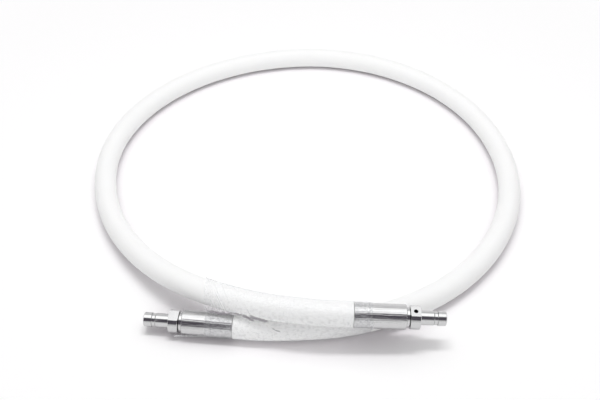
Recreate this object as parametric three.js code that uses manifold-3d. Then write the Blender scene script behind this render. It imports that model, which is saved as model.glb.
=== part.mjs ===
// A flexible white-covered hose with a crimped stainless tube-stub fitting on each end. It lies in
// one loop on a flat surface, and its ends cross at the front inside a wrap of clear film.
// Millimetres, +Z up. The origin is on that surface, under the middle of the loop's footprint.

import * as THREE from 'three';
import { mergeVertices } from 'three/addons/utils/BufferGeometryUtils.js';
import Module from 'manifold-3d';

const wasm = await Module();
wasm.setup();

// ---- Driving dimensions --------------------------------------------------------------------

// Hose layers, from the bore outwards. Each wall is the layer's own thickness.
const BORE_DIAMETER = 12.7;
const LINER_WALL = 1.0;
const FIBRE_WALL = 0.5;
const WIRE_WALL = 0.6;
const COVER_WALL = 1.65;
const LAYER_GAP = 0.3;

// How far the layers run into each ferrule, past the end of the cover.
const ENGAGED_LENGTH = 38;

// Crimp ferrule: a plain tube with an inward lip that locks behind the insert's collar.
const FERRULE_WALL = 1.247;
const FERRULE_LENGTH = 45.2;
const FERRULE_CHAMFER = 0.5;
const LIP_THICKNESS = 3;
const FIT_GAP = 0.3;

// Insert: barbed tail inside the liner, locking collar, neck ring, flatted collar, tube stub.
const TAIL_START = 3;
const TAIL_WALL = 0.8;
const BARB_HEIGHT = 0.55;
const BARB_COUNT = 4;
const BARB_PITCH = 7;
const LOCK_DIAMETER = 15.6;
const LIP_GROOVE_DIAMETER = 13.4;
const NECK_DIAMETER = 17.6;
const NECK_LENGTH = 2.2;
const RELIEF_DIAMETER = 15.4;
const RELIEF_LENGTH = 0.8;
const COLLAR_DIAMETER = 20.8;
const COLLAR_LENGTH = 8.8;
const COLLAR_CHAMFER = 0.5;
const ACROSS_FLATS = 18;
const HOLE_DIAMETER = 3.6;
const HOLE_DEPTH = 3.2;
const STUB_DIAMETER = 12.7;
const STUB_LENGTH = 22.6;
const STUB_CHAMFER = 0.6;
const GROOVE_FROM_TIP = 7.6;
const GROOVE_WIDTH = 3.0;
const GROOVE_DEPTH = 0.5;

// Clear film round both strands, from one ferrule to the other and this far past their mouths.
const FILM_OVER_LEFT_FERRULE = 25;
const FILM_OVER_RIGHT_FERRULE = 16.5;
const FILM_WALL = 0.3;
const FILM_GAP = 0.3;
const FILM_SIDE_EASE = 0.6;

// Fineness of the faceted surfaces.
const HOSE_SIDES = 12;
const TURNED_SIDES = 24;
const FILM_SIDES = 24;

// The hose's gap to itself is measured on this many points a step.
const POINTS_PER_STEP = 25;

// Where the hose leaves each ferrule, and which way the fitting points from there. heading turns
// from +X towards +Y, climb is above level, roll turns the flats about the fitting's own axis.
const LEFT_END = {
  mouth: [-65, -216.7, 12.1],
  heading: 174.2,
  climb: 0,
  roll: 174,
};
const RIGHT_END = {
  mouth: [38.9, -222.9, 34.3],
  heading: -0.6,
  climb: -2.9,
  roll: 6,
};

// The hose leaves each ferrule straight for this length.
const STRAIGHT_RUN = 20;

// The hose between the two straight runs, along its centreline, from the left end round the
// loop. It lies on the surface, and its last stretch climbs over the first where they cross.
const ROUTE = [
  [-16, -219, 12.1],
  [32.5, -214.5, 12.1],
  [79, -200, 12],
  [121.5, -176.5, 11.3],
  [158, -144, 11],
  [186.5, -104, 11],
  [205.5, -59, 11],
  [214, -11, 11],
  [212, 37.5, 11],
  [200, 85, 11],
  [178, 128.5, 11],
  [147, 166, 11],
  [108, 195.5, 11],
  [63.5, 215, 11],
  [15.5, 223.5, 11],
  [-33, 220, 11],
  [-80, 206.5, 11],
  [-123, 183, 11],
  [-160, 151, 11],
  [-188.5, 112, 11],
  [-207.5, 66.5, 11],
  [-214.5, 18.5, 11],
  [-209.5, -30, 11],
  [-194.5, -76.5, 11.7],
  [-170, -119, 15.6],
  [-138.5, -156, 21.6],
  [-100, -186.5, 28.6],
  [-61, -206.6, 33.6],
  [-31, -216.2, 35.7],
  [-4, -220.9, 36.2],
];

// ---- Values that follow from them ----------------------------------------------------------

const linerOuter = BORE_DIAMETER / 2 + LINER_WALL;
const fibreInner = linerOuter + LAYER_GAP;
const fibreOuter = fibreInner + FIBRE_WALL;
const wireInner = fibreOuter + LAYER_GAP;
const wireOuter = wireInner + WIRE_WALL;
const coverInner = wireOuter + LAYER_GAP;
const coverOuter = coverInner + COVER_WALL;

// A faceted tube's flats lie at the stated radius, so its corners stand out by this factor.
const hoseCorner = 1 / Math.cos(Math.PI / HOSE_SIDES);
const turnedCorner = 1 / Math.cos(Math.PI / TURNED_SIDES);
const ferruleBore = (wireOuter * hoseCorner + FIT_GAP) * turnedCorner;
const ferruleOuter = ferruleBore + FERRULE_WALL;

// The barbs' crests grip the liner, and the insert is drilled through from end to end.
const barbCrest = BORE_DIAMETER / 2 - FIT_GAP;
const tailCore = barbCrest - BARB_HEIGHT;
const insertBore = tailCore - TAIL_WALL;

// Stations along a fitting, from the ferrule's mouth towards the stub's tip.
const lipStart = FERRULE_LENGTH - LIP_THICKNESS;
const lockStart = ENGAGED_LENGTH + FIT_GAP;
const lockEnd = lipStart - FIT_GAP;
const neckStart = FERRULE_LENGTH + FIT_GAP;
const neckEnd = neckStart + NECK_LENGTH;
const collarStart = neckEnd + RELIEF_LENGTH;
const collarEnd = collarStart + COLLAR_LENGTH;
const tip = collarEnd + STUB_LENGTH;

// Where the film begins and ends.
const filmLeft = LEFT_END.mouth[0] - FILM_OVER_LEFT_FERRULE;
const filmRight = RIGHT_END.mouth[0] + FILM_OVER_RIGHT_FERRULE;

// ---- Finishes ------------------------------------------------------------------------------

const rubberWhite = new THREE.MeshStandardMaterial({ color: 0xf4f4f2, roughness: 0.5 });
const linerWhite = new THREE.MeshStandardMaterial({ color: 0xe9e9e4, roughness: 0.35 });
const fibreCream = new THREE.MeshStandardMaterial({ color: 0xd9d2bd, roughness: 0.9 });
const wireSteel = new THREE.MeshStandardMaterial({ color: 0xb8b8b8, roughness: 0.4, metalness: 1 });
const turnedSteel = new THREE.MeshStandardMaterial({
  color: 0xcfcfd1,
  roughness: 0.18,
  metalness: 1,
});
const clearFilm = new THREE.MeshStandardMaterial({
  color: 0xf2f5f6,
  roughness: 0.15,
  transparent: true,
  opacity: 0.35,
});

// ---- Helpers -------------------------------------------------------------------------------

// A closed mesh as a solid that can be cut and joined.
function solidFrom(geometry) {
  const bare = geometry.clone();
  bare.deleteAttribute('normal');
  bare.deleteAttribute('uv');
  const merged = mergeVertices(bare, 1e-4);
  return new wasm.Manifold(new wasm.Mesh({
    numProp: 3,
    vertProperties: new Float32Array(merged.attributes.position.array),
    triVerts: new Uint32Array(merged.index.array),
  }));
}

// The triangles of a solid as drawable geometry.
function geometryFrom(solid) {
  const mesh = solid.getMesh();
  const geometry = new THREE.BufferGeometry();
  geometry.setAttribute('position', new THREE.BufferAttribute(mesh.vertProperties, 3));
  geometry.setIndex(new THREE.BufferAttribute(mesh.triVerts, 1));
  geometry.computeVertexNormals();
  return geometry;
}

function namedMesh(name, geometry, material) {
  const mesh = new THREE.Mesh(geometry, material);
  mesh.name = name;
  return mesh;
}

// The unit vector along which a fitting points, out of the hose.
function fittingAxis(end) {
  const heading = THREE.MathUtils.degToRad(end.heading);
  const climb = THREE.MathUtils.degToRad(end.climb);
  return new THREE.Vector3(
    Math.cos(heading) * Math.cos(climb),
    Math.sin(heading) * Math.cos(climb),
    Math.sin(climb),
  );
}

// A point on a fitting's axis, counted from the ferrule's mouth towards the tip.
function onAxis(end, distance) {
  return fittingAxis(end).multiplyScalar(distance).add(new THREE.Vector3(...end.mouth));
}

// A turned piece about +X, from a closed outline of [distance along the axis, radius] points.
function turned(outline) {
  const points = outline.map(([along, radius]) => new THREE.Vector2(radius, along));
  points.push(points[0].clone());
  const geometry = new THREE.LatheGeometry(points, TURNED_SIDES);
  geometry.rotateZ(-Math.PI / 2);
  return solidFrom(geometry);
}

// A regular outline whose flats lie at the given radius, with one flat facing straight down.
function flatSided(radius, Outline) {
  const outline = new Outline();
  for (let side = 0; side < HOSE_SIDES; side += 1) {
    const angle = ((side + 0.5) * 2 * Math.PI) / HOSE_SIDES;
    const x = radius * hoseCorner * Math.cos(angle);
    const y = radius * hoseCorner * Math.sin(angle);
    if (side === 0) outline.moveTo(x, y);
    else outline.lineTo(x, y);
  }
  outline.closePath();
  return outline;
}

// ---- Hose ----------------------------------------------------------------------------------

// The whole hose's centreline, with both ends inside their ferrules.
const hosePath = new THREE.CatmullRomCurve3([
  onAxis(LEFT_END, ENGAGED_LENGTH),
  onAxis(LEFT_END, 0),
  onAxis(LEFT_END, -STRAIGHT_RUN),
  ...ROUTE.map((point) => new THREE.Vector3(...point)),
  onAxis(RIGHT_END, -STRAIGHT_RUN),
  onAxis(RIGHT_END, 0),
  onAxis(RIGHT_END, ENGAGED_LENGTH),
], false, 'centripetal');
hosePath.arcLengthDivisions = 2000;

// All layers share these steps, so that they stay concentric. A step is as long as the stretch
// inside a ferrule, so a joint between facets falls at each ferrule's mouth.
const hoseSteps = Math.round(hosePath.getLength() / ENGAGED_LENGTH);

// One layer of the hose along the whole centreline.
function hoseLayer(outer, inner) {
  const section = flatSided(outer, THREE.Shape);
  section.holes.push(flatSided(inner, THREE.Path));
  return new THREE.ExtrudeGeometry(section, { steps: hoseSteps, extrudePath: hosePath });
}

// The stretch of cover that is skived off so that the ferrule can grip the wire braid.
function skivedStretch(end) {
  const radius = coverOuter * hoseCorner + FIT_GAP;
  const length = ENGAGED_LENGTH + 2 * FIT_GAP;
  const cutter = new THREE.CylinderGeometry(radius, radius, length, TURNED_SIDES);
  cutter.rotateZ(-Math.PI / 2);
  cutter.translate(length / 2 - FIT_GAP, 0, 0);
  cutter.applyMatrix4(placement(end));
  return solidFrom(cutter);
}

function hoseCover() {
  const whole = solidFrom(hoseLayer(coverOuter, coverInner));
  return geometryFrom(whole.subtract(skivedStretch(LEFT_END)).subtract(skivedStretch(RIGHT_END)));
}

// Points along the middle of the faceted hose, with how far along it each lies.
function facetPoints() {
  const stations = hosePath.getSpacedPoints(hoseSteps);
  const points = [];
  for (let step = 0; step < hoseSteps; step += 1) {
    for (let part = 0; part < POINTS_PER_STEP; part += 1) {
      const share = part / POINTS_PER_STEP;
      const point = stations[step].clone().lerp(stations[step + 1], share);
      points.push({ point, along: (step + share) * ENGAGED_LENGTH });
    }
  }
  return points;
}

// The least gap, corner to corner, between stretches that lie over a quarter of the hose apart
// along it.
function leastGapToItself() {
  const points = facetPoints();
  const apart = hosePath.getLength() / 4;
  let least = Infinity;
  for (const a of points) {
    for (const b of points) {
      if (b.along - a.along > apart) least = Math.min(least, a.point.distanceTo(b.point));
    }
  }
  return least - 2 * coverOuter * hoseCorner;
}

console.log(`Least gap of the hose to itself: ${leastGapToItself().toFixed(2)} mm`);

// ---- End fittings --------------------------------------------------------------------------

// Turns a fitting made along +X, with a flat facing up, into its place on the hose.
function placement(end) {
  const turn = new THREE.Euler(
    THREE.MathUtils.degToRad(end.roll),
    THREE.MathUtils.degToRad(-end.climb),
    THREE.MathUtils.degToRad(end.heading),
    'ZYX',
  );
  const quaternion = new THREE.Quaternion().setFromEuler(turn);
  return new THREE.Matrix4().compose(
    new THREE.Vector3(...end.mouth),
    quaternion,
    new THREE.Vector3(1, 1, 1),
  );
}

function ferrule() {
  const lipHole = LIP_GROOVE_DIAMETER / 2 + FIT_GAP;
  return turned([
    [0, ferruleBore],
    [0, ferruleOuter - FERRULE_CHAMFER],
    [FERRULE_CHAMFER, ferruleOuter],
    [FERRULE_LENGTH - FERRULE_CHAMFER, ferruleOuter],
    [FERRULE_LENGTH, ferruleOuter - FERRULE_CHAMFER],
    [FERRULE_LENGTH, lipHole],
    [lipStart, lipHole],
    [lipStart, ferruleBore],
  ]);
}

// The barbs rise towards the tip and drop square, so the liner can't slide off.
function barbOutline() {
  const outline = [[TAIL_START, tailCore]];
  for (let barb = 1; barb <= BARB_COUNT; barb += 1) {
    const end = TAIL_START + barb * BARB_PITCH;
    outline.push([end, barbCrest], [end, tailCore]);
  }
  return outline;
}

function turnedInsert() {
  const collar = COLLAR_DIAMETER / 2;
  const stub = STUB_DIAMETER / 2;
  const grooveEnd = tip - GROOVE_FROM_TIP;
  return turned([
    [TAIL_START, insertBore],
    ...barbOutline(),
    [lockStart, tailCore],
    [lockStart, LOCK_DIAMETER / 2],
    [lockEnd, LOCK_DIAMETER / 2],
    [lockEnd, LIP_GROOVE_DIAMETER / 2],
    [neckStart, LIP_GROOVE_DIAMETER / 2],
    [neckStart, NECK_DIAMETER / 2],
    [neckEnd, NECK_DIAMETER / 2],
    [neckEnd, RELIEF_DIAMETER / 2],
    [collarStart, RELIEF_DIAMETER / 2],
    [collarStart, collar - COLLAR_CHAMFER],
    [collarStart + COLLAR_CHAMFER, collar],
    [collarEnd - COLLAR_CHAMFER, collar],
    [collarEnd, collar - COLLAR_CHAMFER],
    [collarEnd, stub],
    [grooveEnd - GROOVE_WIDTH, stub],
    [grooveEnd - GROOVE_WIDTH, stub - GROOVE_DEPTH],
    [grooveEnd, stub - GROOVE_DEPTH],
    [grooveEnd, stub],
    [tip - STUB_CHAMFER, stub],
    [tip, stub - STUB_CHAMFER],
    [tip, insertBore],
  ]);
}

// What a wrench flat takes off the collar, on the side that side names: 1 above, -1 below.
function flatCut(side) {
  const depth = COLLAR_DIAMETER / 2;
  const block = new THREE.BoxGeometry(COLLAR_LENGTH + RELIEF_LENGTH, COLLAR_DIAMETER * 2, depth);
  const middle = (collarStart - RELIEF_LENGTH / 2 + collarEnd + RELIEF_LENGTH / 2) / 2;
  block.translate(middle, 0, side * (ACROSS_FLATS / 2 + depth / 2));
  return solidFrom(block);
}

function insert() {
  const flatHeight = ACROSS_FLATS / 2;
  const drill = new THREE.CylinderGeometry(
    HOLE_DIAMETER / 2,
    HOLE_DIAMETER / 2,
    HOLE_DEPTH * 2,
    TURNED_SIDES / 2,
  );
  drill.rotateX(Math.PI / 2);
  drill.translate((collarStart + collarEnd) / 2, 0, flatHeight);
  return turnedInsert().subtract(flatCut(1)).subtract(flatCut(-1)).subtract(solidFrom(drill));
}

// A ferrule and its insert, placed at one end of the hose.
function endFitting(side, end) {
  const group = new THREE.Group();
  group.add(namedMesh(`${side}_ferrule`, geometryFrom(ferrule()), turnedSteel.clone()));
  group.add(namedMesh(`${side}_insert`, geometryFrom(insert()), turnedSteel.clone()));
  group.applyMatrix4(placement(end));
  return group;
}

// ---- Film ----------------------------------------------------------------------------------

// Where one strand of the hose crosses the plane at this X, and how much wider than round the
// plane cuts it. At a joint between two facets the wider of the two counts.
function strandAt(x, stations) {
  const cuts = [];
  for (let index = 1; index < stations.length; index += 1) {
    const a = stations[index - 1];
    const b = stations[index];
    if ((a.x - x) * (b.x - x) > 0) continue;
    const run = b.clone().sub(a).normalize();
    cuts.push({
      centre: a.clone().lerp(b, (x - a.x) / (b.x - a.x)),
      lean: Math.hypot(run.x, run.y) / Math.abs(run.x),
    });
  }
  return { centre: cuts[0].centre, lean: Math.max(...cuts.map((cut) => cut.lean)) };
}

// The outermost point of a cut strand, in one direction of the cutting plane. Sideways it gets
// some ease, for the corners that the strands' bends push out between two rings.
function outermost({ centre, lean }, radius, angle) {
  const wide = radius * lean + FILM_SIDE_EASE;
  const reach = Math.hypot(wide * Math.cos(angle), radius * Math.sin(angle));
  return new THREE.Vector3(
    centre.x,
    centre.y + (wide * wide * Math.cos(angle)) / reach,
    centre.z + (radius * radius * Math.sin(angle)) / reach,
  );
}

// One closed outline pulled tight round both strands, at one X.
function filmRing(x, radius, strands) {
  const ring = [];
  for (let side = 0; side < FILM_SIDES; side += 1) {
    const angle = ((side + 0.5) * 2 * Math.PI) / FILM_SIDES;
    const across = new THREE.Vector3(0, Math.cos(angle), Math.sin(angle));
    const points = strands.map((strand) => outermost(strandAt(x, strand), radius, angle));
    ring.push(points[0].dot(across) > points[1].dot(across) ? points[0] : points[1]);
  }
  return ring;
}

// The film follows the facets of both strands, so it has a ring wherever one of them bends.
function filmStations(strands) {
  const bends = strands.flat().map((point) => point.x)
    .filter((x) => x > filmLeft + FILM_WALL && x < filmRight - FILM_WALL);
  return [filmLeft, ...bends, filmRight].sort((a, b) => a - b);
}

// A sleeve, open at both ends: an outer and an inner skin joined round the two rims.
function filmWrap() {
  const stations = hosePath.getSpacedPoints(hoseSteps);
  const quarter = Math.floor(stations.length / 4);
  const strands = [stations.slice(0, quarter), stations.slice(-quarter)];
  const widest = Math.max(coverOuter * hoseCorner, ferruleOuter);
  const inner = (widest + FILM_GAP) / Math.cos(Math.PI / FILM_SIDES);
  const places = filmStations(strands);
  const vertices = [];
  for (const radius of [inner + FILM_WALL, inner]) {
    for (const x of places) {
      for (const point of filmRing(x, radius, strands)) vertices.push(...point);
    }
  }
  const at = (layer, place, side) => (
    (layer * places.length + place) * FILM_SIDES + (side % FILM_SIDES)
  );
  const faces = [];
  const quad = (a, b, c, d) => faces.push(a, b, c, a, c, d);
  const last = places.length - 1;
  for (let side = 0; side < FILM_SIDES; side += 1) {
    const next = side + 1;
    for (let place = 0; place < last; place += 1) {
      const beyond = place + 1;
      quad(at(0, place, side), at(0, place, next), at(0, beyond, next), at(0, beyond, side));
      quad(at(1, place, side), at(1, beyond, side), at(1, beyond, next), at(1, place, next));
    }
    quad(at(0, 0, side), at(1, 0, side), at(1, 0, next), at(0, 0, next));
    quad(at(0, last, side), at(0, last, next), at(1, last, next), at(1, last, side));
  }
  const geometry = new THREE.BufferGeometry();
  geometry.setAttribute('position', new THREE.Float32BufferAttribute(vertices, 3));
  geometry.setIndex(faces);
  geometry.computeVertexNormals();
  return geometry;
}

// ---- Assembly ------------------------------------------------------------------------------

const hoseAssembly = new THREE.Group();
hoseAssembly.add(namedMesh('hose_liner', hoseLayer(linerOuter, BORE_DIAMETER / 2), linerWhite));
hoseAssembly.add(namedMesh('fibre_braid', hoseLayer(fibreOuter, fibreInner), fibreCream));
hoseAssembly.add(namedMesh('wire_braid', hoseLayer(wireOuter, wireInner), wireSteel));
hoseAssembly.add(namedMesh('hose_cover', hoseCover(), rubberWhite));
hoseAssembly.add(endFitting('left', LEFT_END));
hoseAssembly.add(endFitting('right', RIGHT_END));
hoseAssembly.add(namedMesh('film_wrap', filmWrap(), clearFilm));

export default hoseAssembly;
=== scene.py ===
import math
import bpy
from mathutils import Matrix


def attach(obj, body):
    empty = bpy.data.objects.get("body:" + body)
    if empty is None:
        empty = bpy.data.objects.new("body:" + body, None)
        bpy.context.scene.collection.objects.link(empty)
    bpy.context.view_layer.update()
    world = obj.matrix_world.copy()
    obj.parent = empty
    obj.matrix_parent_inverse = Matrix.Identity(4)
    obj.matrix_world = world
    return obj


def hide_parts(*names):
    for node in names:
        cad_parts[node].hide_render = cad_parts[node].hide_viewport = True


bl_info = {
    "name": "Covered hose in a loop",
    "version": (1, 0, 0),
    "blender": (4, 5, 0),
    "location": "View3D > Sidebar > Hose",
    "description": "Lays a white covered hose in one loop, turns its two end fittings and "
    "wraps its crossing in clear film",
    "category": "Object",
}

import bmesh
import bpy
from bpy.props import FloatProperty, FloatVectorProperty, IntProperty, PointerProperty
from mathutils import Euler, Matrix, Vector, noise

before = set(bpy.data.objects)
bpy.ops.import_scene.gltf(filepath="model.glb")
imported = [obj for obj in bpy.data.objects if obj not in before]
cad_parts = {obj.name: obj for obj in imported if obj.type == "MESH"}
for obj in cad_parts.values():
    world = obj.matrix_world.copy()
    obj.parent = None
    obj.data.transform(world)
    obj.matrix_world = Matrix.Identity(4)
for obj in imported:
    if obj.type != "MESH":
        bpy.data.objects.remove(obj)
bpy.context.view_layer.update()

# ---- Where the hose lies -------------------------------------------------------------------
# Metres, as everything here. Angles are in degrees: heading turns from +X towards +Y, climb is
# above level, and roll turns the wrench flats about the fitting's own axis.

LEFT_END = {"mouth": (-0.065, -0.2167, 0.0121), "heading": 174.2, "climb": 0.0, "roll": 174.0}
RIGHT_END = {"mouth": (0.0389, -0.2229, 0.0343), "heading": -0.6, "climb": -2.9, "roll": 6.0}

STRAIGHT_RUN = 0.020  # the hose's straight length behind each ferrule's mouth
ENGAGED_LENGTH = 0.038  # of the hose's inner layers inside each ferrule
SKIVE_GAP = 0.0003  # between the cover's cut end and the ferrule's mouth

ROUTE = [
    (-0.016, -0.219, 0.0121),
    (0.0325, -0.2145, 0.0121),
    (0.079, -0.200, 0.012),
    (0.1215, -0.1765, 0.0113),
    (0.158, -0.144, 0.011),
    (0.1865, -0.104, 0.011),
    (0.2055, -0.059, 0.011),
    (0.214, -0.011, 0.011),
    (0.212, 0.0375, 0.011),
    (0.200, 0.085, 0.011),
    (0.178, 0.1285, 0.011),
    (0.147, 0.166, 0.011),
    (0.108, 0.1955, 0.011),
    (0.0635, 0.215, 0.011),
    (0.0155, 0.2235, 0.011),
    (-0.033, 0.220, 0.011),
    (-0.080, 0.2065, 0.011),
    (-0.123, 0.183, 0.011),
    (-0.160, 0.151, 0.011),
    (-0.1885, 0.112, 0.011),
    (-0.2075, 0.0665, 0.011),
    (-0.2145, 0.0185, 0.011),
    (-0.2095, -0.030, 0.011),
    (-0.1945, -0.0765, 0.0117),
    (-0.170, -0.119, 0.0156),
    (-0.1385, -0.156, 0.0216),
    (-0.100, -0.1865, 0.0286),
    (-0.061, -0.2066, 0.0336),
    (-0.031, -0.2162, 0.0357),
    (-0.004, -0.2209, 0.0362),
]

# The hose's layers, as outside and inside radius. The cover's outside is a size below.
COVER_BORE = 0.00935
LINER_WALL = (0.00735, 0.00635)
YARN_WALL = (0.00815, 0.00765)
WIRE_WALL = (0.00905, 0.00845)

# Lengths along a fitting.
LIP_LENGTH = 0.003
FIT_GAP = 0.0003
NECK_LENGTH = 0.0022
RELIEF_LENGTH = 0.0008
COLLAR_LENGTH = 0.0088
STUB_LENGTH = 0.0226
GROOVE_LENGTH = 0.003
GROOVE_TO_TIP = 0.0076

# The film: where it begins and ends along X, its girth, and how far from where it begins the
# mouths of the two ferrules lie.
FILM_START, FILM_END = -0.090, 0.0555
FILM_GIRTH = 0.135
LEFT_MOUTH, RIGHT_MOUTH = 0.025, 0.129

# The film's tucks in the valley beside the left ferrule, painted dark as the valley's shade:
# (x, z) of both ends, and width.
TUCK_LINES_PAINTED_DARK = [
    ((-0.0900, 0.0282), (-0.0630, 0.0312), 0.0013),
    ((-0.0720, 0.0320), (-0.0540, 0.0332), 0.0009),
    ((-0.0580, 0.0334), (-0.0445, 0.0298), 0.0020),
    ((-0.0520, 0.0335), (-0.0320, 0.0311), 0.0023),
    ((-0.0315, 0.0246), (-0.0230, 0.0200), 0.0008),
]


# ---- Sizes and colours that a user would change --------------------------------------------


def length_of(name, description, default):
    """A length that a user would change."""
    return FloatProperty(name=name, description=description, default=default, unit="LENGTH")


def colour_of(name, description, default):
    """A colour that a user would change."""
    return FloatVectorProperty(
        name=name, description=description, default=default, size=3, subtype="COLOR"
    )


class HoseSizes(bpy.types.PropertyGroup):
    """Sizes of the hose, its fittings and the film"""

    hose_diameter: length_of("Hose diameter", "Outside diameter of the white cover", 0.022)
    ferrule_diameter: length_of(
        "Ferrule diameter", "Outside diameter of each crimped ferrule", 0.022
    )
    ferrule_length: length_of(
        "Ferrule length", "Length of each ferrule, from its mouth to its lip", 0.0452
    )
    stub_diameter: length_of("Stub diameter", "Outside diameter of the plain tube stub", 0.0127)
    collar_diameter: length_of(
        "Collar diameter", "Outside diameter of the collar that carries the wrench flats", 0.0208
    )
    across_flats: length_of(
        "Across flats", "Distance between the collar's two wrench flats", 0.018
    )
    film_clearance: length_of(
        "Film clearance", "How far the tight film lies off the hose and the ferrules", 0.0004
    )
    film_wrinkle: length_of("Film wrinkle", "How far the film's creases stand out", 0.0007)
    turned_steps: IntProperty(
        name="Turned steps",
        description="Facets round each turned piece",
        default=128,
        min=24,
    )


class HoseColours(bpy.types.PropertyGroup):
    """Colours of the hose, its fittings and the film"""

    cover: colour_of("Cover", "White silicone of the outer cover", (0.95, 0.95, 0.948))
    liner: colour_of("Liner", "Milky inner tube", (0.82, 0.82, 0.79))
    yarn: colour_of("Yarn", "Textile braid on the liner", (0.66, 0.59, 0.44))
    wire: colour_of("Wire", "Stainless wire braid", (0.56, 0.56, 0.57))
    steel: colour_of(
        "Steel", "Turned stainless steel of the ferrules and inserts", (0.62, 0.62, 0.625)
    )
    film: colour_of(
        "Film", "Light that the clear film scatters at its creases", (0.93, 0.94, 0.95)
    )


# ---- Node trees ----------------------------------------------------------------------------


class Value:
    """A number in a node tree; sums, products and powers of it add Math nodes."""

    def __init__(self, finish, socket):
        self.finish = finish
        self.socket = socket

    def math(self, operation, first, second):
        inputs = {0: first, 1: second}
        made = self.finish.node("ShaderNodeMath", {"operation": operation}, inputs)
        return Value(self.finish, made.outputs[0])

    def __add__(self, other):
        return self.math("ADD", self, other)

    def __radd__(self, other):
        return self.math("ADD", other, self)

    def __sub__(self, other):
        return self.math("SUBTRACT", self, other)

    def __rsub__(self, other):
        return self.math("SUBTRACT", other, self)

    def __mul__(self, other):
        return self.math("MULTIPLY", self, other)

    def __rmul__(self, other):
        return self.math("MULTIPLY", other, self)

    def __truediv__(self, other):
        return self.math("DIVIDE", self, other)

    def __pow__(self, other):
        return self.math("POWER", self, other)

    def largest(self, other):
        return self.math("MAXIMUM", self, other)

    def smallest(self, other):
        return self.math("MINIMUM", self, other)

    def sine(self):
        return self.math("SINE", self, 0.0)

    def size(self):
        return self.math("ABSOLUTE", self, 0.0)

    def angle_to(self, other):
        return self.math("ARCTAN2", self, other)

    def step(self, low, high):
        """0 below low, 1 above high, and a smooth rise between."""
        made = self.finish.node(
            "ShaderNodeMapRange",
            {"interpolation_type": "SMOOTHSTEP"},
            {"Value": self, "From Min": low, "From Max": high},
        )
        return Value(self.finish, made.outputs[0])


class Finish:
    """The node tree of one material or of the world."""

    def __init__(self, owner):
        owner.use_nodes = True
        self.owner = owner
        self.tree = owner.node_tree
        self.tree.nodes.clear()

    def node(self, kind, settings=None, inputs=None):
        """Adds a node of this type, with its settings first and then its sockets' values."""
        made = self.tree.nodes.new(kind)
        for name, setting in (settings or {}).items():
            setattr(made, name, setting)
        for name, value in (inputs or {}).items():
            socket = made.inputs[name]
            if isinstance(value, Value):
                value = value.socket
            if isinstance(value, bpy.types.NodeSocket):
                self.tree.links.new(value, socket)
            elif socket.type == "RGBA" and len(value) == 3:
                socket.default_value = (*value, 1.0)
            else:
                socket.default_value = value
        return made

    def value(self, socket):
        return Value(self, socket)

    def split(self, place):
        """The three numbers of a place."""
        made = self.node("ShaderNodeSeparateXYZ", {}, {0: place})
        return [self.value(socket) for socket in made.outputs]

    def noise(self, place, scale, detail=2.0, roughness=0.5):
        inputs = {"Vector": place, "Scale": scale, "Detail": detail, "Roughness": roughness}
        return self.value(self.node("ShaderNodeTexNoise", {}, inputs).outputs[0])

    def stretched(self, place, scales, turn=(0.0, 0.0, 0.0)):
        """A place with a scale of its own along each axis, after this turn in radians."""
        inputs = {"Vector": place, "Scale": scales, "Rotation": turn}
        return self.node("ShaderNodeMapping", {}, inputs).outputs[0]

    def mix(self, share, first, second):
        inputs = {0: share, 6: first, 7: second}
        return self.node("ShaderNodeMix", {"data_type": "RGBA"}, inputs).outputs[2]

    def bump(self, height, distance, strength=1.0):
        inputs = {"Height": height, "Distance": distance, "Strength": strength}
        return self.node("ShaderNodeBump", {}, inputs).outputs[0]

    def surface(self, inputs):
        return self.node("ShaderNodeBsdfPrincipled", {}, inputs).outputs[0]

    def is_ray(self, *kinds):
        """1 for a ray of one of these kinds, and 0 for any other."""
        path = self.node("ShaderNodeLightPath")
        first, *others = (self.value(path.outputs[f"Is {kind} Ray"]) for kind in kinds)
        for other in others:
            first = first.largest(other)
        return first

    def cover(self, share, under, over):
        """One shader over another, by this share."""
        return self.node("ShaderNodeMixShader", {}, {0: share, 1: under, 2: over}).outputs[0]

    def show(self, shader):
        """Puts the shader on the material or world, and returns that."""
        kind = "ShaderNodeOutputMaterial"
        if isinstance(self.owner, bpy.types.World):
            kind = "ShaderNodeOutputWorld"
        self.node(kind, {}, {"Surface": shader})
        return self.owner

    def show_surface(self, inputs):
        return self.show(self.surface(inputs))


def finish_for(name):
    """The node tree of a new material, with the places that its patterns read."""
    finish = Finish(bpy.data.materials.new(name))
    places = finish.node("ShaderNodeTexCoord")
    finish.place, finish.along = places.outputs["Object"], places.outputs["UV"]
    return finish


def shaded(colour, share):
    """A colour at this share of its brightness."""
    return tuple(share * part for part in colour)


def grey(level):
    return (level, level, level)


def silicone_white(colours):
    """Smooth extruded silicone: a soft sheen, faint clouding and a very fine pebble."""
    finish = finish_for("silicone_white")
    clouds = finish.noise(finish.place, 14.0, 3.0)
    smudges = finish.noise(finish.place, 60.0, 4.0, 0.6).step(0.52, 0.75)
    pebble = finish.noise(finish.place, 2600.0)
    drag = finish.noise(finish.stretched(finish.along, (9.0, 60.0, 1.0)), 3.0, 3.0)
    tint = clouds * 0.5 + smudges * 0.3
    return finish.show_surface(
        {
            "Base Color": finish.mix(tint, colours.cover, shaded(colours.cover, 0.965)),
            "Roughness": 0.40 + clouds * 0.10 + smudges * 0.06,
            "Normal": finish.bump(pebble * 0.5 + drag * 0.5, 0.00004, 0.6),
            "IOR": 1.41,
            "Subsurface Weight": 0.25,
            "Subsurface Radius": (1.0, 1.0, 0.95),
            "Subsurface Scale": 0.0015,
        }
    )


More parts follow.
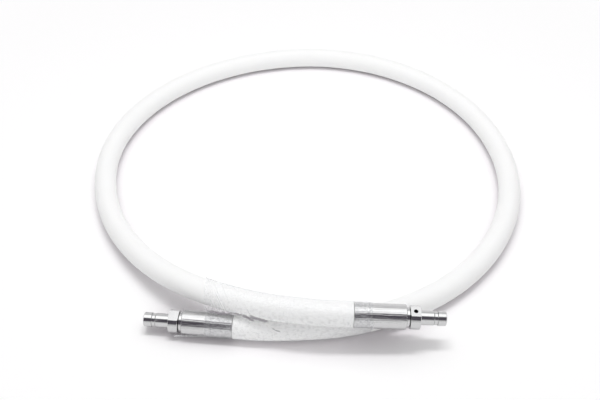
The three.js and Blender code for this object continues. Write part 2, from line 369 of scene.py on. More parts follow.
def milky_liner(colours):
    """Extruded fluoropolymer, smooth and slightly waxy, with long draw marks."""
    finish = finish_for("milky_liner")
    clouds = finish.noise(finish.place, 40.0, 3.0)
    draw = finish.noise(finish.stretched(finish.along, (4.0, 220.0, 1.0)), 3.0)
    return finish.show_surface(
        {
            "Base Color": finish.mix(clouds, colours.liner, shaded(colours.liner, 0.94)),
            "Roughness": 0.28 + clouds * 0.10,
            "Normal": finish.bump(draw, 0.00005),
            "IOR": 1.35,
        }
    )


def braid(name, colour, strands, pitch, roughness, metallic):
    """Strands crossing over and under in two directions round the tube.
    The piece's UV map gives metres along the hose and turns round it."""
    finish = finish_for(name)
    metres, turn, _ = finish.split(finish.along)
    run = metres / pitch
    waves = strands * math.pi
    first = ((run + turn) * waves).sine().size()
    second = ((run - turn) * waves).sine().size()
    over = ((run * waves).sine() * (turn * waves).sine()).step(-0.2, 0.2)
    height = first * over + second * (1.0 - over)
    grain = finish.noise(finish.stretched(finish.along, (2400.0, 900.0, 1.0)), 1.0)
    # Painted shade: the braid's colour is darker in the valleys between its strands.
    lit = height * 0.8 + grain * 0.2
    return finish.show_surface(
        {
            "Base Color": finish.mix(lit, shaded(colour, 0.45), colour),
            "Roughness": roughness + grain * 0.15,
            "Metallic": metallic,
            "Normal": finish.bump(height + grain * 0.2, 0.0002),
        }
    )


def turned_steel(colours, name="turned_steel", crimp_marks=0.0, crevice_shade=()):
    """Polished turned stainless steel: fine rings round the axis, faint smears and scratches,
    on a crimped piece shallow drawn lines along it, and painted shade in narrow crevices and at
    the groove's edges, each with its start and stop along the axis and the share that it darkens.
    The piece's UV map gives metres along the axis and turns round it."""
    finish = finish_for(name)
    place, along = finish.place, finish.along
    rings = finish.noise(finish.stretched(along, (9000.0, 1.0, 1.0)), 1.0, 3.0, 0.6)
    bands = finish.noise(finish.stretched(along, (420.0, 2.0, 1.0)), 1.0)
    smears = finish.noise(place, 150.0, 4.0, 0.6).step(0.45, 0.8)
    slanting = finish.stretched(place, (700.0, 90.0, 400.0), (0.3, 0.5, 0.9))
    scratch = finish.noise(slanting, 1.0).step(0.66, 0.72)
    drawn = finish.noise(finish.stretched(along, (14.0, 64.0, 1.0)), 1.0, 3.0, 0.6)
    height = rings * 0.5 + bands * 0.35 - scratch * 0.3 + drawn * crimp_marks
    tint = bands * 0.5 + smears * 0.3
    base = finish.mix(tint, colours.steel, shaded(colours.steel, 0.90))
    run = finish.split(along)[0]
    soft = 0.0001
    # Painted shade: each crevice darkens the steel's colour between its start and stop.
    for start, stop, share in crevice_shade:
        inside = run.step(start - soft, start + soft) * (1.0 - run.step(stop - soft, stop + soft))
        base = finish.mix(inside * share, base, shaded(colours.steel, 0.22))
    return finish.show_surface(
        {
            "Base Color": base,
            "Metallic": 1.0,
            "Roughness": 0.10 + smears * 0.08 + rings * 0.05 + scratch * 0.1,
            "Normal": finish.bump(height, 0.00002, 0.5),
        }
    )


def drilled_steel_painted_shade(colours):
    """The wall of a drilled hole: duller than the turned steel round it, with painted shade."""
    finish = finish_for("drilled_steel_painted_shade")
    chatter = finish.noise(finish.place, 2200.0)
    # Painted shade: the hole's wall is coloured far darker than the steel.
    painted_hole_shade = shaded(colours.steel, 0.16)
    return finish.show_surface(
        {
            "Base Color": finish.mix(chatter, painted_hole_shade, shaded(painted_hole_shade, 0.8)),
            "Metallic": 1.0,
            "Roughness": 0.55 + chatter * 0.15,
        }
    )


def pulled_tucks_painted_dark(finish):
    """Where the film's front is pulled into tucks beside the left ferrule, painted dark as shade,
    from 0 to 1.
    """
    x, y, z = finish.split(finish.place)
    wander = (finish.noise(finish.place, 260.0, 3.0) - 0.5) * 0.0022
    total = None
    for start, stop, width in TUCK_LINES_PAINTED_DARK:
        slope = (stop[1] - start[1]) / (stop[0] - start[0])
        off = (z - start[1] - (x - start[0]) * slope + wander).size()
        middle, half = (start[0] + stop[0]) / 2, (stop[0] - start[0]) / 2
        reach = 1.0 - (x - middle).size().step(half * 0.5, half)
        tuck_painted_dark = (1.0 - off.step(width * 0.2, width)) * reach
        total = tuck_painted_dark if total is None else total.largest(tuck_painted_dark)
    in_front = 1.0 - y.step(-0.212, -0.209)
    return total * in_front


def painted_glints_on_steel(finish, run, height):
    """Painted glints: white specks where the film lies on the two ferrules, from 0 to 1."""
    specks = finish.stretched(finish.place, (400.0, 980.0, 980.0), (0.0, 0.5, 0.3))
    glints = finish.noise(specks, 1.0, 3.0, 0.7)
    glint = glints.step(0.56, 0.59) + (1.0 - glints.step(0.39, 0.43)) * 0.3
    on_left = 1.0 - run.step(LEFT_MOUTH - 0.002, LEFT_MOUTH)
    on_left = on_left * (1.0 - height.step(0.0250, 0.0275))
    on_right = run.step(RIGHT_MOUTH - 0.001, RIGHT_MOUTH + 0.001) * height.step(0.020, 0.025)
    return glint * (on_left + on_right)


def clear_film(colours):
    """Several turns of clear stretch film: it mirrors at its folds and is milky on the creases.
    The piece's UV map gives metres along the wrap and turns round it."""
    finish = finish_for("clear_film")
    place = finish.place
    run, turn, _ = finish.split(finish.along)
    height = finish.split(place)[2]
    below_crown = 1.0 - height.step(0.037, 0.045)
    tucks_painted_dark = pulled_tucks_painted_dark(finish)

    # The shape of the crinkles, for the bump.
    broad = finish.stretched(place, (260.0, 420.0, 420.0), (0.2, 0.1, 0.2))
    folds = finish.noise(broad, 1.0, 3.0, 0.6)
    fine = finish.noise(place, 900.0, 3.0, 0.6)
    grain = finish.noise(finish.stretched(place, (300.0, 460.0, 460.0)), 1.0)
    relief = folds * 0.6 + fine * 0.05 + grain * 0.6 + tucks_painted_dark * 0.5
    normal = finish.bump(relief, 0.0022, 0.7)

    # Milky places: long creases, the fan pulled out of the crossing, the film's two ends.
    thin = finish.stretched(place, (900.0, 90.0, 120.0), (0.1, 0.5, 0.35))
    streaks = finish.noise(thin, 1.0)
    crease = streaks.step(0.62, 0.76) * 0.5 + (folds - 0.5).size().step(0.02, 0.0) * 0.2
    slant = {0: (run - turn * 0.066) * 520.0, 1: turn * 4.0, 2: 0.0}
    pulled = finish.noise(finish.node("ShaderNodeCombineXYZ", {}, slant).outputs[0], 1.0, 2.0, 0.6)
    on_strand = 0.25 + height.step(0.022, 0.030) * 0.75
    fan = pulled.step(0.56, 0.74) * (1.0 - run.step(0.034, 0.056)) * on_strand
    fan = fan * (0.2 + below_crown * 0.8)
    rim = finish.node("ShaderNodeAttribute", {"attribute_name": "rim"}).outputs["Fac"]
    edge = (1.0 - finish.value(rim).step(0.0003, 0.0011)) * fine.step(0.42, 0.60) * 0.20
    loose_corner = (1.0 - run.step(-0.024, -0.010)) * 0.5
    edge = edge + loose_corner
    glint = painted_glints_on_steel(finish, run, height)
    # Painted highlights: the glints add the film's milky white as bright specks on the steel.
    milky = (0.01 + crease * 0.2 + fan * 0.45 + glint * 0.22).largest(edge)

    # Painted dark places: the tucks as the valley's shade, and faint blotches as dark reflections.
    painted_dark_blotch = grain.step(0.50, 0.62) * (0.15 + below_crown * 0.85)
    dark = (tucks_painted_dark * 0.85).largest(painted_dark_blotch * 0.115)

    facing = finish.node("ShaderNodeLayerWeight", {}, {"Normal": normal}).outputs["Facing"]
    mirror = (finish.value(facing) ** 5.0 * 0.9 + 0.06).smallest(0.8)
    clear = finish.node("ShaderNodeBsdfTransparent", {}, {"Color": (0.985, 0.987, 0.99)})
    gloss = finish.surface(
        {"Base Color": colours.film, "Roughness": 0.05, "Metallic": 1.0, "Normal": normal}
    )
    milk = finish.surface({"Base Color": colours.film, "Roughness": 0.35})
    shade = finish.surface({"Base Color": (0.27, 0.25, 0.275), "Roughness": 0.25})
    film = finish.cover(mirror, clear.outputs[0], gloss)
    return finish.show(finish.cover(dark, finish.cover(milky, film, milk), shade))


def pale_floor():
    """White sweep: it takes the object's shadow, deepened near the object by a painted mauve
    shadow, and is otherwise as white as the background.
    """
    finish = finish_for("pale_floor")
    seen = finish.is_ray("Camera", "Glossy", "Transmission")
    paper = finish.noise(finish.place, 30.0) * 0.2
    white = finish.mix(paper, grey(0.94), grey(0.93))
    plain = finish.node("ShaderNodeBsdfDiffuse", {}, {"Color": white})
    # Painted shadow: ambient occlusion darkens the floor's colour to a mauve grey near the object.
    near = finish.node("ShaderNodeAmbientOcclusion", {"samples": 24}, {"Distance": 0.05})
    open_sky = finish.value(near.outputs["AO"]).step(0.30, 0.90)
    painted_contact_shadow = finish.mix(open_sky, (0.80, 0.765, 0.795), (0.985, 0.98, 0.985))
    lit = finish.node("ShaderNodeBsdfDiffuse", {}, {"Color": painted_contact_shadow})
    x, y, _ = finish.split(finish.place)
    away = (x * x + y * y).step(0.0, 1.6) * 0.55
    glow = finish.node("ShaderNodeEmission", {}, {"Strength": away})
    swept = finish.node("ShaderNodeAddShader", {}, {0: lit.outputs[0], 1: glow.outputs[0]})
    return finish.show(finish.cover(seen, plain.outputs[0], swept.outputs[0]))


# ---- Making meshes -------------------------------------------------------------------------


def axis_of(end):
    """The unit vector along which a fitting points, out of the hose."""
    heading, climb = math.radians(end["heading"]), math.radians(end["climb"])
    level = math.cos(climb)
    return Vector((math.cos(heading) * level, math.sin(heading) * level, math.sin(climb)))


def on_axis(end, distance):
    """A point on a fitting's axis, counted from the ferrule's mouth towards the tip."""
    return Vector(end["mouth"]) + axis_of(end) * distance


def placement(end):
    """Turns a fitting made along +X, with a flat facing up, into its place on the hose."""
    roll, climb, heading = (math.radians(end[name]) for name in ("roll", "climb", "heading"))
    turn = Euler((roll, -climb, heading))
    return Matrix.Translation(end["mouth"]) @ turn.to_matrix().to_4x4()


def smooth_line(points, per_stretch=24):
    """A centripetal Catmull-Rom line through the points, as the hose's solid follows."""
    first = points[0] * 2 - points[1]
    last = points[-1] * 2 - points[-2]
    points = [first, *points, last]
    line = []
    for a, b, c, d in zip(points, points[1:], points[2:], points[3:]):
        ab, bc, cd = ((q - p).length ** 0.5 for p, q in ((a, b), (b, c), (c, d)))
        start = ((b - a) / ab - (c - a) / (ab + bc) + (c - b) / bc) * bc
        stop = ((c - b) / bc - (d - b) / (bc + cd) + (d - c) / cd) * bc
        for step in range(per_stretch):
            t = step / per_stretch
            square = (c * 3 - b * 3 - start * 2 - stop) * t**2
            cube = (b * 2 - c * 2 + start + stop) * t**3
            line.append(b + start * t + square + cube)
    line.append(points[-2])
    return line


def evenly(line, spacing):
    """Points an even distance apart along a line, both of its ends among them."""
    lengths = [0.0]
    for a, b in zip(line, line[1:]):
        lengths.append(lengths[-1] + (b - a).length)
    count = max(1, round(lengths[-1] / spacing))
    result, index = [], 0
    for step in range(count + 1):
        wanted = lengths[-1] * step / count
        while index < len(line) - 2 and lengths[index + 1] < wanted:
            index += 1
        share = (wanted - lengths[index]) / (lengths[index + 1] - lengths[index])
        result.append(line[index].lerp(line[index + 1], share))
    return result


def hose_line(past_mouths):
    """The hose's centreline, from this far inside the left ferrule to as far inside the right."""
    stops = [past_mouths, 0, -STRAIGHT_RUN] if past_mouths > 0 else [past_mouths, -STRAIGHT_RUN]
    left = [on_axis(LEFT_END, stop) for stop in stops]
    right = [on_axis(RIGHT_END, stop) for stop in reversed(stops)]
    return smooth_line([*left, *(Vector(point) for point in ROUTE), *right])


def rings_along(line, radius, sides):
    """Rings of points round a line, turned as little as possible from one to the next."""
    rings = []
    tangent = (line[1] - line[0]).normalized()
    across = tangent.cross(Vector((0, 0, 1))).normalized()
    for index, point in enumerate(line):
        before, after = line[max(0, index - 1)], line[min(len(line) - 1, index + 1)]
        turned = (after - before).normalized()
        across = (across - turned * across.dot(turned)).normalized()
        other = turned.cross(across)
        ring = []
        for side in range(sides):
            angle = side * math.tau / sides
            ring.append(point + (across * math.cos(angle) + other * math.sin(angle)) * radius)
        rings.append(ring)
    return rings


def new_rim(grown, fresh):
    """The edges that an extrusion made between its own new vertices."""
    edges = (item for item in grown if isinstance(item, bmesh.types.BMEdge))
    return [edge for edge in edges if fresh.issuperset(edge.verts)]


def extrude_rings(bm, rings):
    """A skin from ring to ring in an empty mesh: the first is a circle, and the others are
    extruded from it. Returns every ring's vertices, in order round it."""
    sides = len(rings[0])
    first = bmesh.ops.create_circle(bm, cap_ends=False, radius=1.0, segments=sides)["verts"]
    made, edges = [list(first)], bm.edges[:]
    for vert, place in zip(first, rings[0]):
        vert.co = place
    for ring in rings[1:]:
        grown = bmesh.ops.extrude_edge_only(bm, edges=edges)["geom"]
        fresh = {item for item in grown if isinstance(item, bmesh.types.BMVert)}
        old = {vert: index for index, vert in enumerate(made[-1])}
        current = [None] * sides
        for vert in fresh:
            for edge in vert.link_edges:
                other = edge.other_vert(vert)
                if other in old:
                    current[old[other]] = vert
        for vert, place in zip(current, ring):
            vert.co = place
        edges = new_rim(grown, fresh)
        made.append(current)
    return made


def map_round(bm, places):
    """Gives a skin its UV map: metres along it, and turns round it without a torn seam."""
    layer = bm.loops.layers.uv.new("along")
    for face in bm.faces:
        turns = [places[loop.vert][1] for loop in face.loops]
        torn = max(turns) - min(turns) > 0.5
        for loop, turn in zip(face.loops, turns):
            lifted = turn + 1.0 if torn and turn < 0.5 else turn
            loop[layer].uv = (places[loop.vert][0], lifted)


def linked(name, data):
    """A new object in the scene."""
    made = bpy.data.objects.new(name, data)
    bpy.context.scene.collection.objects.link(made)
    return made


def shape(name, bm, material):
    """A new object in the scene, of this mesh and material."""
    mesh = bpy.data.meshes.new(name)
    bm.to_mesh(mesh)
    bm.free()
    mesh.materials.append(material)
    return linked(name, mesh)


def finished(name, bm, material, sharp=35.0):
    """A piece of the object, smooth but for edges sharper than this angle in degrees."""
    piece = shape(name, bm, material)
    piece.data.shade_smooth()
    piece.data.set_sharp_from_angle(angle=math.radians(sharp))
    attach(piece, "root")
    return piece


def hose_tube(name, line, outer, inner, sides, material):
    """One closed layer of the hose: its outside, its rim, its bore and the rim it started from."""
    bm = bmesh.new()
    outside = rings_along(line, outer, sides)
    inside = rings_along(line, inner, sides)
    made = extrude_rings(bm, outside + inside[::-1])
    bmesh.ops.bridge_loops(bm, edges=[edge for edge in bm.edges if edge.is_boundary])
    bmesh.ops.recalc_face_normals(bm, faces=bm.faces)
    count = len(line)
    step = sum((b - a).length for a, b in zip(line, line[1:])) / (count - 1)
    places = {}
    for index, ring in enumerate(made):
        station = index if index < count else 2 * count - 1 - index
        for side, vert in enumerate(ring):
            places[vert] = (station * step, side / sides)
    map_round(bm, places)
    return finished(name, bm, material)


def turned_piece(outline, steps, rounding):
    """A closed outline of (along, radius) points, its corners eased, spun about the X axis."""
    bm = bmesh.new()
    verts = [bm.verts.new((along, 0.0, radius)) for along, radius in outline]
    edges = [bm.edges.new(pair) for pair in zip(verts, verts[1:] + verts[:1])]
    bmesh.ops.bevel(
        bm,
        geom=verts + edges,
        offset=rounding,
        offset_type="OFFSET",
        segments=2,
        profile=0.5,
        affect="VERTICES",
        material=-1,
    )
    bmesh.ops.spin(
        bm,
        geom=bm.verts[:] + bm.edges[:],
        cent=(0, 0, 0),
        axis=(1, 0, 0),
        angle=math.tau,
        steps=steps,
        use_merge=True,
    )
    bmesh.ops.remove_doubles(bm, verts=bm.verts, dist=1e-7)
    bmesh.ops.recalc_face_normals(bm, faces=bm.faces)
    return bm


def place_turned(bm, end):
    """Maps a turned piece along and round its own axis, then sets it in place on the hose."""
    places = {}
    for vert in bm.verts:
        turn = math.atan2(vert.co.z, vert.co.y) / math.tau
        places[vert] = (vert.co.x, turn % 1.0)
    map_round(bm, places)
    bmesh.ops.transform(bm, matrix=placement(end), verts=bm.verts)


# ---- Operators -----------------------------------------------------------------------------


class HOSE_OT_lay_hose(bpy.types.Operator):
    """Lay the hose's four layers along its loop"""

    bl_idname = "hose.lay_hose"
    bl_label = "Lay hose"

    def execute(self, context):
        sizes, colours = context.scene.hose_sizes, context.scene.hose_colours
        outer = sizes.hose_diameter / 2
        whole = evenly(hose_line(ENGAGED_LENGTH), spacing=0.004)
        shown = evenly(hose_line(-SKIVE_GAP), spacing=0.0035)
        cover = hose_tube("cover", shown, outer, COVER_BORE, 48, silicone_white(colours))
        liner = hose_tube("liner", whole, *LINER_WALL, 32, milky_liner(colours))
        yarn = braid(
            "braided_yarn", colours.yarn, strands=16, pitch=0.032, roughness=0.75, metallic=0.0
        )
        wire = braid(
            "braided_wire", colours.wire, strands=12, pitch=0.036, roughness=0.30, metallic=1.0
        )
        textile = hose_tube("textile_braid", whole, *YARN_WALL, 32, yarn)
        steel = hose_tube("steel_braid", whole, *WIRE_WALL, 32, wire)
        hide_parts("hose_cover")
        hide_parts("hose_liner")
        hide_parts("fibre_braid")
        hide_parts("wire_braid")
        context.scene["hose_path"] = [list(point) for point in shown]
        return {"FINISHED"}


class HOSE_OT_turn_ferrules(bpy.types.Operator):
    """Turn the crimped ferrule of each end"""

    bl_idname = "hose.turn_ferrules"
    bl_label = "Turn ferrules"

    def execute(self, context):
        sizes = context.scene.hose_sizes
        material = turned_steel(context.scene.hose_colours, "crimped_steel", 30.0)
        outer, length = sizes.ferrule_diameter / 2, sizes.ferrule_length
        chamfer, bore, hole = 0.0004, 0.00975, 0.007
        outline = [
            (0.0, bore),
            (0.0, outer - chamfer),
            (chamfer, outer),
            (length - chamfer, outer),
            (length, outer - chamfer),
            (length, hole),
            (length - LIP_LENGTH, hole),
            (length - LIP_LENGTH, bore),
        ]
        for side, end in (("left", LEFT_END), ("right", RIGHT_END)):
            bm = turned_piece(outline, sizes.turned_steps, rounding=0.00012)
            place_turned(bm, end)
            piece = finished(f"ferrule_{side}", bm, material, sharp=12.0)
            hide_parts(f"{side}_ferrule")
        return {"FINISHED"}


class HOSE_OT_turn_inserts(bpy.types.Operator):
    """Turn the insert of each end, mill its flats and drill its collar"""

    bl_idname = "hose.turn_inserts"
    bl_label = "Turn inserts"

    def stations(self, sizes):
        """Where the neck ring, the collar and the groove start and end, and where the tip is."""
        neck_start = sizes.ferrule_length + FIT_GAP
        neck_end = neck_start + NECK_LENGTH
        collar_start = neck_end + RELIEF_LENGTH
        collar_end = collar_start + COLLAR_LENGTH
        tip = collar_end + STUB_LENGTH
        groove_end = tip - GROOVE_TO_TIP
        groove_start = groove_end - GROOVE_LENGTH
        return neck_start, neck_end, collar_start, collar_end, groove_start, groove_end, tip

    def outline(self, sizes):
        """The insert's section, from the barbed tail inside the hose to the stub's tip."""
        tail, pitch, core, crest, bore = 0.003, 0.007, 0.0055, 0.00605, 0.0047
        lock, in_lip, neck, relief = 0.0078, 0.0067, 0.0088, 0.0077
        stub, collar = sizes.stub_diameter / 2, sizes.collar_diameter / 2
        chamfer, fillet, tip_chamfer, sunk = 0.0005, 0.0003, 0.0006, 0.0005
        lock_start = ENGAGED_LENGTH + FIT_GAP
        lock_end = sizes.ferrule_length - LIP_LENGTH - FIT_GAP
        neck_start, neck_end, collar_start, collar_end, *groove, tip = self.stations(sizes)
        points = [(tail, bore), (tail, core)]
        for barb in range(1, 5):
            end = tail + barb * pitch
            points += [(end, crest), (end, core)]
        return points + [
            (lock_start, core),
            (lock_start, lock),
            (lock_end, lock),
            (lock_end, in_lip),
            (neck_start, in_lip),
            (neck_start, neck),
            (neck_end, neck),
            (neck_end, relief),
            (collar_start, relief),
            (collar_start, collar - chamfer),
            (collar_start + chamfer, collar),
            (collar_end - chamfer, collar),
            (collar_end, collar - chamfer),
            (collar_end, stub + fillet),
            (collar_end + fillet, stub),
            (groove[0] - 0.0004, stub),
            (groove[0] + 0.0002, stub - sunk),
            (groove[1] - 0.0002, stub - sunk),
            (groove[1] + 0.0004, stub),
            (tip - tip_chamfer, stub),
            (tip, stub - tip_chamfer),
            (tip, bore),
        ]

    def mill_flat(self, bm, height, side):
        """Cuts the collar off square at this height, above or below, and gives the cut's rim."""
        cut = bmesh.ops.bisect_plane(
            bm,
            geom=bm.verts[:] + bm.edges[:] + bm.faces[:],
            dist=1e-7,
            plane_co=(0, 0, side * height),
            plane_no=(0, 0, side),
            clear_outer=True,
        )["geom_cut"]
        return [item for item in cut if isinstance(item, bmesh.types.BMEdge)]

    def drill(self, bm, rim, middle, height):
        """Fills the upper flat round a hole with an eased rim, and sinks the hole."""
        radius, ease, depth, cone = 0.0018, 0.00015, 0.0032, 0.0006
        mouth = radius + ease
        spot = Matrix.Translation((middle, 0, height))
        made = bmesh.ops.create_circle(bm, cap_ends=False, radius=mouth, segments=48, matrix=spot)
        edges = list(dict.fromkeys(edge for vert in made["verts"] for edge in vert.link_edges))
        bmesh.ops.triangle_fill(bm, use_beauty=True, edges=rim + edges, normal=(0, 0, 1))
        axis = Matrix.Translation((-middle, 0, 0))
        rings = ((radius / mouth, ease, 0), (1.0, depth - ease, 1), (0.05, cone, 1))
        for shrink, drop, slot in rings:
            grown = bmesh.ops.extrude_edge_only(bm, edges=edges)["geom"]
            for item in grown:
                if isinstance(item, bmesh.types.BMFace):
                    item.material_index = slot
            verts = [item for item in grown if isinstance(item, bmesh.types.BMVert)]
            bmesh.ops.scale(bm, vec=(shrink, shrink, 1), space=axis, verts=verts)
            bmesh.ops.translate(bm, vec=(0, 0, -drop), verts=verts)
            edges = new_rim(grown, set(verts))
        bmesh.ops.edgeloop_fill(bm, edges=edges)

    def execute(self, context):
        sizes = context.scene.hose_sizes
        length = sizes.ferrule_length
        _, neck_end, collar_start, collar_end, *groove, _ = self.stations(sizes)
        # Painted shade: the steel is darkened in the gaps beside the neck ring and at the groove's
        # edges.
        crevice_shade = (
            (length, length + 0.0004, 0.9),
            (neck_end, collar_start, 0.9),
            (groove[0] - 0.0005, groove[0] + 0.0003, 0.5),
            (groove[1] - 0.0002, groove[1] + 0.0005, 0.5),
        )
        material = turned_steel(context.scene.hose_colours, crevice_shade=crevice_shade)
        hole_material_painted_shade = drilled_steel_painted_shade(context.scene.hose_colours)
        outline, middle = self.outline(sizes), (collar_start + collar_end) / 2
        height = sizes.across_flats / 2
        for side, end in (("left", LEFT_END), ("right", RIGHT_END)):
            bm = turned_piece(outline, sizes.turned_steps, rounding=0.00008)
            lower = self.mill_flat(bm, height, -1)
            bmesh.ops.edgeloop_fill(bm, edges=lower)
            upper = self.mill_flat(bm, height, 1)
            self.drill(bm, upper, middle, height)
            bmesh.ops.recalc_face_normals(bm, faces=bm.faces)
            place_turned(bm, end)
            piece = finished(f"insert_{side}", bm, material, sharp=12.0)
            piece.data.materials.append(hole_material_painted_shade)
            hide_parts(f"{side}_insert")
        return {"FINISHED"}


class HOSE_OT_measure_hose(bpy.types.Operator):
    """An empty step, which does nothing"""

    bl_idname = "hose.measure_hose"
    bl_label = "Measure hose"

    def execute(self, context):
        return {"FINISHED"}


class HOSE_OT_wrap_film(bpy.types.Operator):
    """Wrap both strands of the crossing in clear film"""

    bl_idname = "hose.wrap_film"
    bl_label = "Wrap film"

    # How far along X the tight rings are worked out, and the film's points round.
    left, right, around = -0.121, 0.059, 168

    def rim_left(self, share):
        """Where the film begins at this share of the way round: a loose corner hangs past the
        front of the left ferrule, and elsewhere the edge runs unevenly across the ferrule."""
        middle, half, hang = 0.925, 0.055, 0.028
        corner = max(0.0, 1 - abs(share - middle) / half)
        wave = 0.0012 * noise.noise(Vector((share * 23.0, 0.4, 2.0)))
        return FILM_START - hang * corner * corner * (3 - 2 * corner) + wave

    def rim_right(self, share):
        """Where the film ends at this share of the way round."""
        return FILM_END + 0.0022 * noise.noise(Vector((share * 17.0, 3.4, 7.0)))

    def at_station(self, table, x, side):
        """A point of the tight film at this X, between the two nearest of the worked-out rings."""
        place = (x - self.left) / (self.right - self.left) * (len(table) - 1)
        index = min(int(place), len(table) - 2)
        before, after = table[index][side], table[index + 1][side]
        share = place - index
        return before[0].lerp(after[0], share), before[1] + (after[1] - before[1]) * share

    def strand_at(self, x, line):
        """Where a strand crosses the plane at this X, and how much wider than round it is cut."""
        for a, b in zip(line, line[1:]):
            if (a.x - x) * (b.x - x) <= 0 and a.x != b.x:
                run = (b - a).normalized()
                lean = math.hypot(run.x, run.y) / abs(run.x)
                return a.lerp(b, (x - a.x) / (b.x - a.x)), lean
        raise ValueError(f"no strand crosses x = {x:.3f}")

    def tight_ring(self, x, radius, strands):
        """The film pulled tight round both strands at one X, as evenly spaced points. The second
        number of each tells how far the film spans free there, from 0 to 1."""
        steps, free_from, full_slack = 240, 0.002, 0.012
        cuts = [self.strand_at(x, strand) for strand in strands]
        outline = []
        for side in range(steps):
            angle = side * math.tau / steps - math.pi / 2
            across, up = math.cos(angle), math.sin(angle)
            best = None
            for centre, lean in cuts:
                wide = radius * lean
                reach = math.hypot(wide * across, radius * up)
                y = centre.y + wide * wide * across / reach
                z = centre.z + radius * radius * up / reach
                point = Vector((x, y, z))
                far = point.y * across + point.z * up
                if best is None or far > best[0]:
                    best = (far, point)
            outline.append(best[1])
        outline.append(outline[0])
        lengths, free = [0.0], []
        for a, b in zip(outline, outline[1:]):
            lengths.append(lengths[-1] + (b - a).length)
            free.append((b - a).length > free_from)
        ring, index = [], 0
        for step in range(self.around):
            wanted = lengths[-1] * step / self.around
            while lengths[index + 1] < wanted:
                index += 1
            run = lengths[index + 1] - lengths[index]
            share = (wanted - lengths[index]) / run
            point = outline[index].lerp(outline[index + 1], share)
            slack = math.sin(math.pi * share) * min(1.0, run / full_slack) if free[index] else 0.0
            ring.append((point, slack))
        return ring

    def crease(self, x, around, slack, size):
        """How far the film stands out here: fine crinkles where it lies on the hose, and long
        pulled folds where it spans between the strands."""
        spot = Vector((x * 1000, around * 1000, 3.7))
        diagonal = spot.x * 0.45 + spot.y * 0.55
        long_fold = noise.noise(Vector((diagonal * 0.42, spot.x * 0.05, 9.1)))
        short_fold = noise.noise(Vector((spot.x * 0.35, spot.y * 0.28, 1.3)))
        crinkle = noise.noise(Vector((spot.x * 0.9, spot.y * 0.8, 5.2)))
        ridge = (1 - abs(long_fold) * 2.4) ** 2 if abs(long_fold) < 0.4 else 0.0
        low = 0.25 * ridge + 0.35 * (short_fold + 0.5) + 0.2 * (crinkle + 0.5)
        return size * (low * (1 - slack) + slack * (0.9 * ridge + 0.5 * short_fold - 0.2))

    def execute(self, context):
        sizes, colours = context.scene.hose_sizes, context.scene.hose_colours
        past_mouths, ring_spacing, loose_from, loose_over = 0.060, 0.001, -0.092, 0.02
        line = evenly(hose_line(past_mouths), spacing=0.004)
        quarter = len(line) // 4
        strands = [line[:quarter], line[-quarter:]]
        radius = sizes.hose_diameter / 2 + sizes.film_clearance
        span = self.right - self.left
        count = round(span / ring_spacing)
        table = [
            self.tight_ring(self.left + span * step / count, radius, strands)
            for step in range(count + 1)
        ]
        rings = []
        for step in range(count + 1):
            ring = []
            for side in range(self.around):
                share = side / self.around
                start, stop = self.rim_left(share), self.rim_right(share)
                x = start + (stop - start) * step / count
                ring.append(self.at_station(table, x, side))
            middle = sum((point for point, _ in ring), Vector()) / len(ring)
            places = []
            for side, (point, slack) in enumerate(ring):
                before, after = ring[side - 1][0], ring[(side + 1) % len(ring)][0]
                outward = Vector((0, after.z - before.z, before.y - after.y)).normalized()
                if outward.dot(point - middle) < 0:
                    outward = -outward
                loose = max(0.0, (loose_from - point.x) / loose_over)
                stand = self.crease(
                    point.x, FILM_GIRTH * side / self.around, slack, sizes.film_wrinkle
                )
                places.append(point + outward * stand * (1 + 3.5 * loose))
            rings.append(places)
        bm = bmesh.new()
        from_rim = bm.verts.layers.float.new("rim")
        made = extrude_rings(bm, rings)
        bmesh.ops.recalc_face_normals(bm, faces=bm.faces)
        places = {}
        for ring in made:
            for side, vert in enumerate(ring):
                share = side / self.around
                places[vert] = (vert.co.x - FILM_START, share)
                vert[from_rim] = vert.co.x - self.rim_left(share)
        map_round(bm, places)
        film = finished("film", bm, clear_film(colours), sharp=80.0)
        film.visible_shadow = False
        film.visible_diffuse = False
        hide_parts("film_wrap")
        return {"FINISHED"}


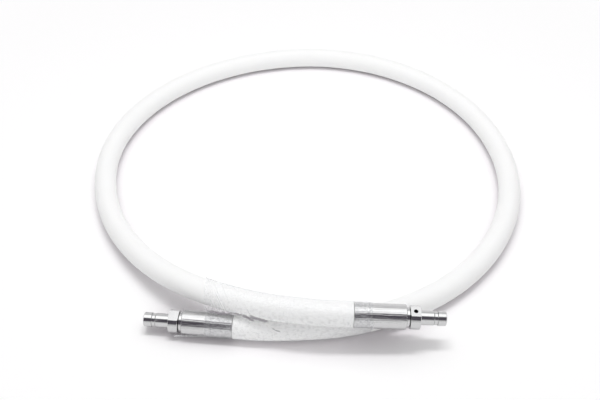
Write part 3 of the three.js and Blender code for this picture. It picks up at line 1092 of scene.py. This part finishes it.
class HOSE_OT_set_stage(bpy.types.Operator):
    """Set the camera, the pale floor and the soft studio light"""

    bl_idname = "hose.set_stage"
    bl_label = "Set stage"

    def camera(self, scene):
        """The photo's camera, as fitted to the hose's outline in it."""
        view = bpy.data.cameras.new("camera")
        view.lens, view.sensor_width = 51.0, 36.0
        view.clip_start, view.clip_end = 0.01, 20.0
        camera = linked("camera", view)
        camera.location = (-0.00668, -0.70289, 0.59080)
        camera.rotation_euler = (math.radians(90 - 41.53), 0.0, 0.0)
        scene.camera = camera

    def floor(self):
        """A wide floor, which lies a little below the hose."""
        half_width, gap = 3.0, 0.0002
        bm = bmesh.new()
        bmesh.ops.create_grid(bm, x_segments=8, y_segments=8, size=half_width)
        bmesh.ops.translate(bm, vec=(0, 0, -gap), verts=bm.verts)
        floor = shape("floor", bm, pale_floor())

    def lamp(self, name, place, aim, width, depth, power):
        """An oval lamp in watts, which the steel and the film don't mirror."""
        light = bpy.data.lights.new(name, "AREA")
        light.shape, light.size, light.size_y, light.energy = "ELLIPSE", width, depth, power
        lamp = linked(name, light)
        lamp.location = place
        lamp.rotation_euler = (Vector(aim) - Vector(place)).to_track_quat("-Z", "Y").to_euler()
        lamp.visible_glossy = False

    def reflections(self, finish, across, forward, height):
        """What the steel and the film mirror, by direction: in front a light floor, a dark band,
        the soft box overhead and the backdrop, and at the sides dark cards with light between."""
        lift = height.angle_to(forward) * (180 / math.pi)
        dark = lift.step(14.0, 22.0) * (1.0 - lift.step(66.0, 76.0))
        soft_box = lift.step(70.0, 82.0) * (1.0 - lift.step(112.0, 130.0))
        backdrop = finish.mix(lift.step(142.0, 168.0), grey(0.80), grey(1.02))
        wide = finish.mix(soft_box, backdrop, grey(1.75))
        front = finish.mix(dark, wide, (0.11, 0.10, 0.12))
        card = height.step(0.16, 0.26) * (1.0 - height.step(0.48, 0.60))
        card = card.largest(across.step(0.84, 0.92))
        sides = finish.mix(card, grey(1.15), (0.22, 0.215, 0.23))
        return finish.mix(across.step(0.42, 0.60), front, sides)

    def world(self, scene):
        """White to the camera, the studio's reflections to metal, and an even fill to the rest."""
        scene.world = bpy.data.worlds.new("studio")
        finish = Finish(scene.world)
        places = finish.node("ShaderNodeTexCoord")
        x, y, height = finish.split(places.outputs["Generated"])
        forward = 0.0 - y
        studio = self.reflections(finish, x.size(), forward, height)
        around = finish.mix(forward.step(0.0, 0.8), grey(0.46), grey(0.67))
        fill = finish.mix(finish.is_ray("Glossy"), around, studio)
        shown = finish.mix(finish.is_ray("Camera", "Transmission"), fill, grey(1.0))
        background = finish.node("ShaderNodeBackground", {}, {"Color": shown, "Strength": 1.0})
        finish.show(background.outputs[0])

    def execute(self, context):
        scene = context.scene
        self.camera(scene)
        self.floor()
        self.lamp("overhead", (0.0, -0.02, 1.60), (0.0, -0.05, 0.0), 1.00, 0.26, 9.0)
        self.lamp("wide_softbox", (0.0, 0.04, 1.20), (0.0, -0.10, 0.0), 1.80, 1.40, 4.1)
        self.world(scene)
        scene.view_settings.view_transform = "Standard"
        return {"FINISHED"}


class HOSE_PT_panel(bpy.types.Panel):
    """The hose's sizes, colours and the steps that build it"""

    bl_idname = "HOSE_PT_panel"
    bl_label = "Covered hose"
    bl_space_type = "VIEW_3D"
    bl_region_type = "UI"
    bl_category = "Hose"

    def draw(self, context):
        for settings in (context.scene.hose_sizes, context.scene.hose_colours):
            column = self.layout.column(align=True)
            for name in settings.__annotations__:
                column.prop(settings, name)
        for step in STEPS:
            self.layout.operator(step.bl_idname)


STEPS = (
    HOSE_OT_lay_hose,
    HOSE_OT_turn_ferrules,
    HOSE_OT_turn_inserts,
    HOSE_OT_measure_hose,
    HOSE_OT_wrap_film,
    HOSE_OT_set_stage,
)

CLASSES = (HoseSizes, HoseColours, *STEPS, HOSE_PT_panel)


def register():
    for made in CLASSES:
        bpy.utils.register_class(made)
    bpy.types.Scene.hose_sizes = PointerProperty(type=HoseSizes)
    bpy.types.Scene.hose_colours = PointerProperty(type=HoseColours)


def unregister():
    del bpy.types.Scene.hose_colours
    del bpy.types.Scene.hose_sizes
    for made in reversed(CLASSES):
        bpy.utils.unregister_class(made)


def main():
    register()
    for step in STEPS:
        group, name = step.bl_idname.split(".")
        getattr(getattr(bpy.ops, group), name)()


if __name__ == "__main__":
    main()
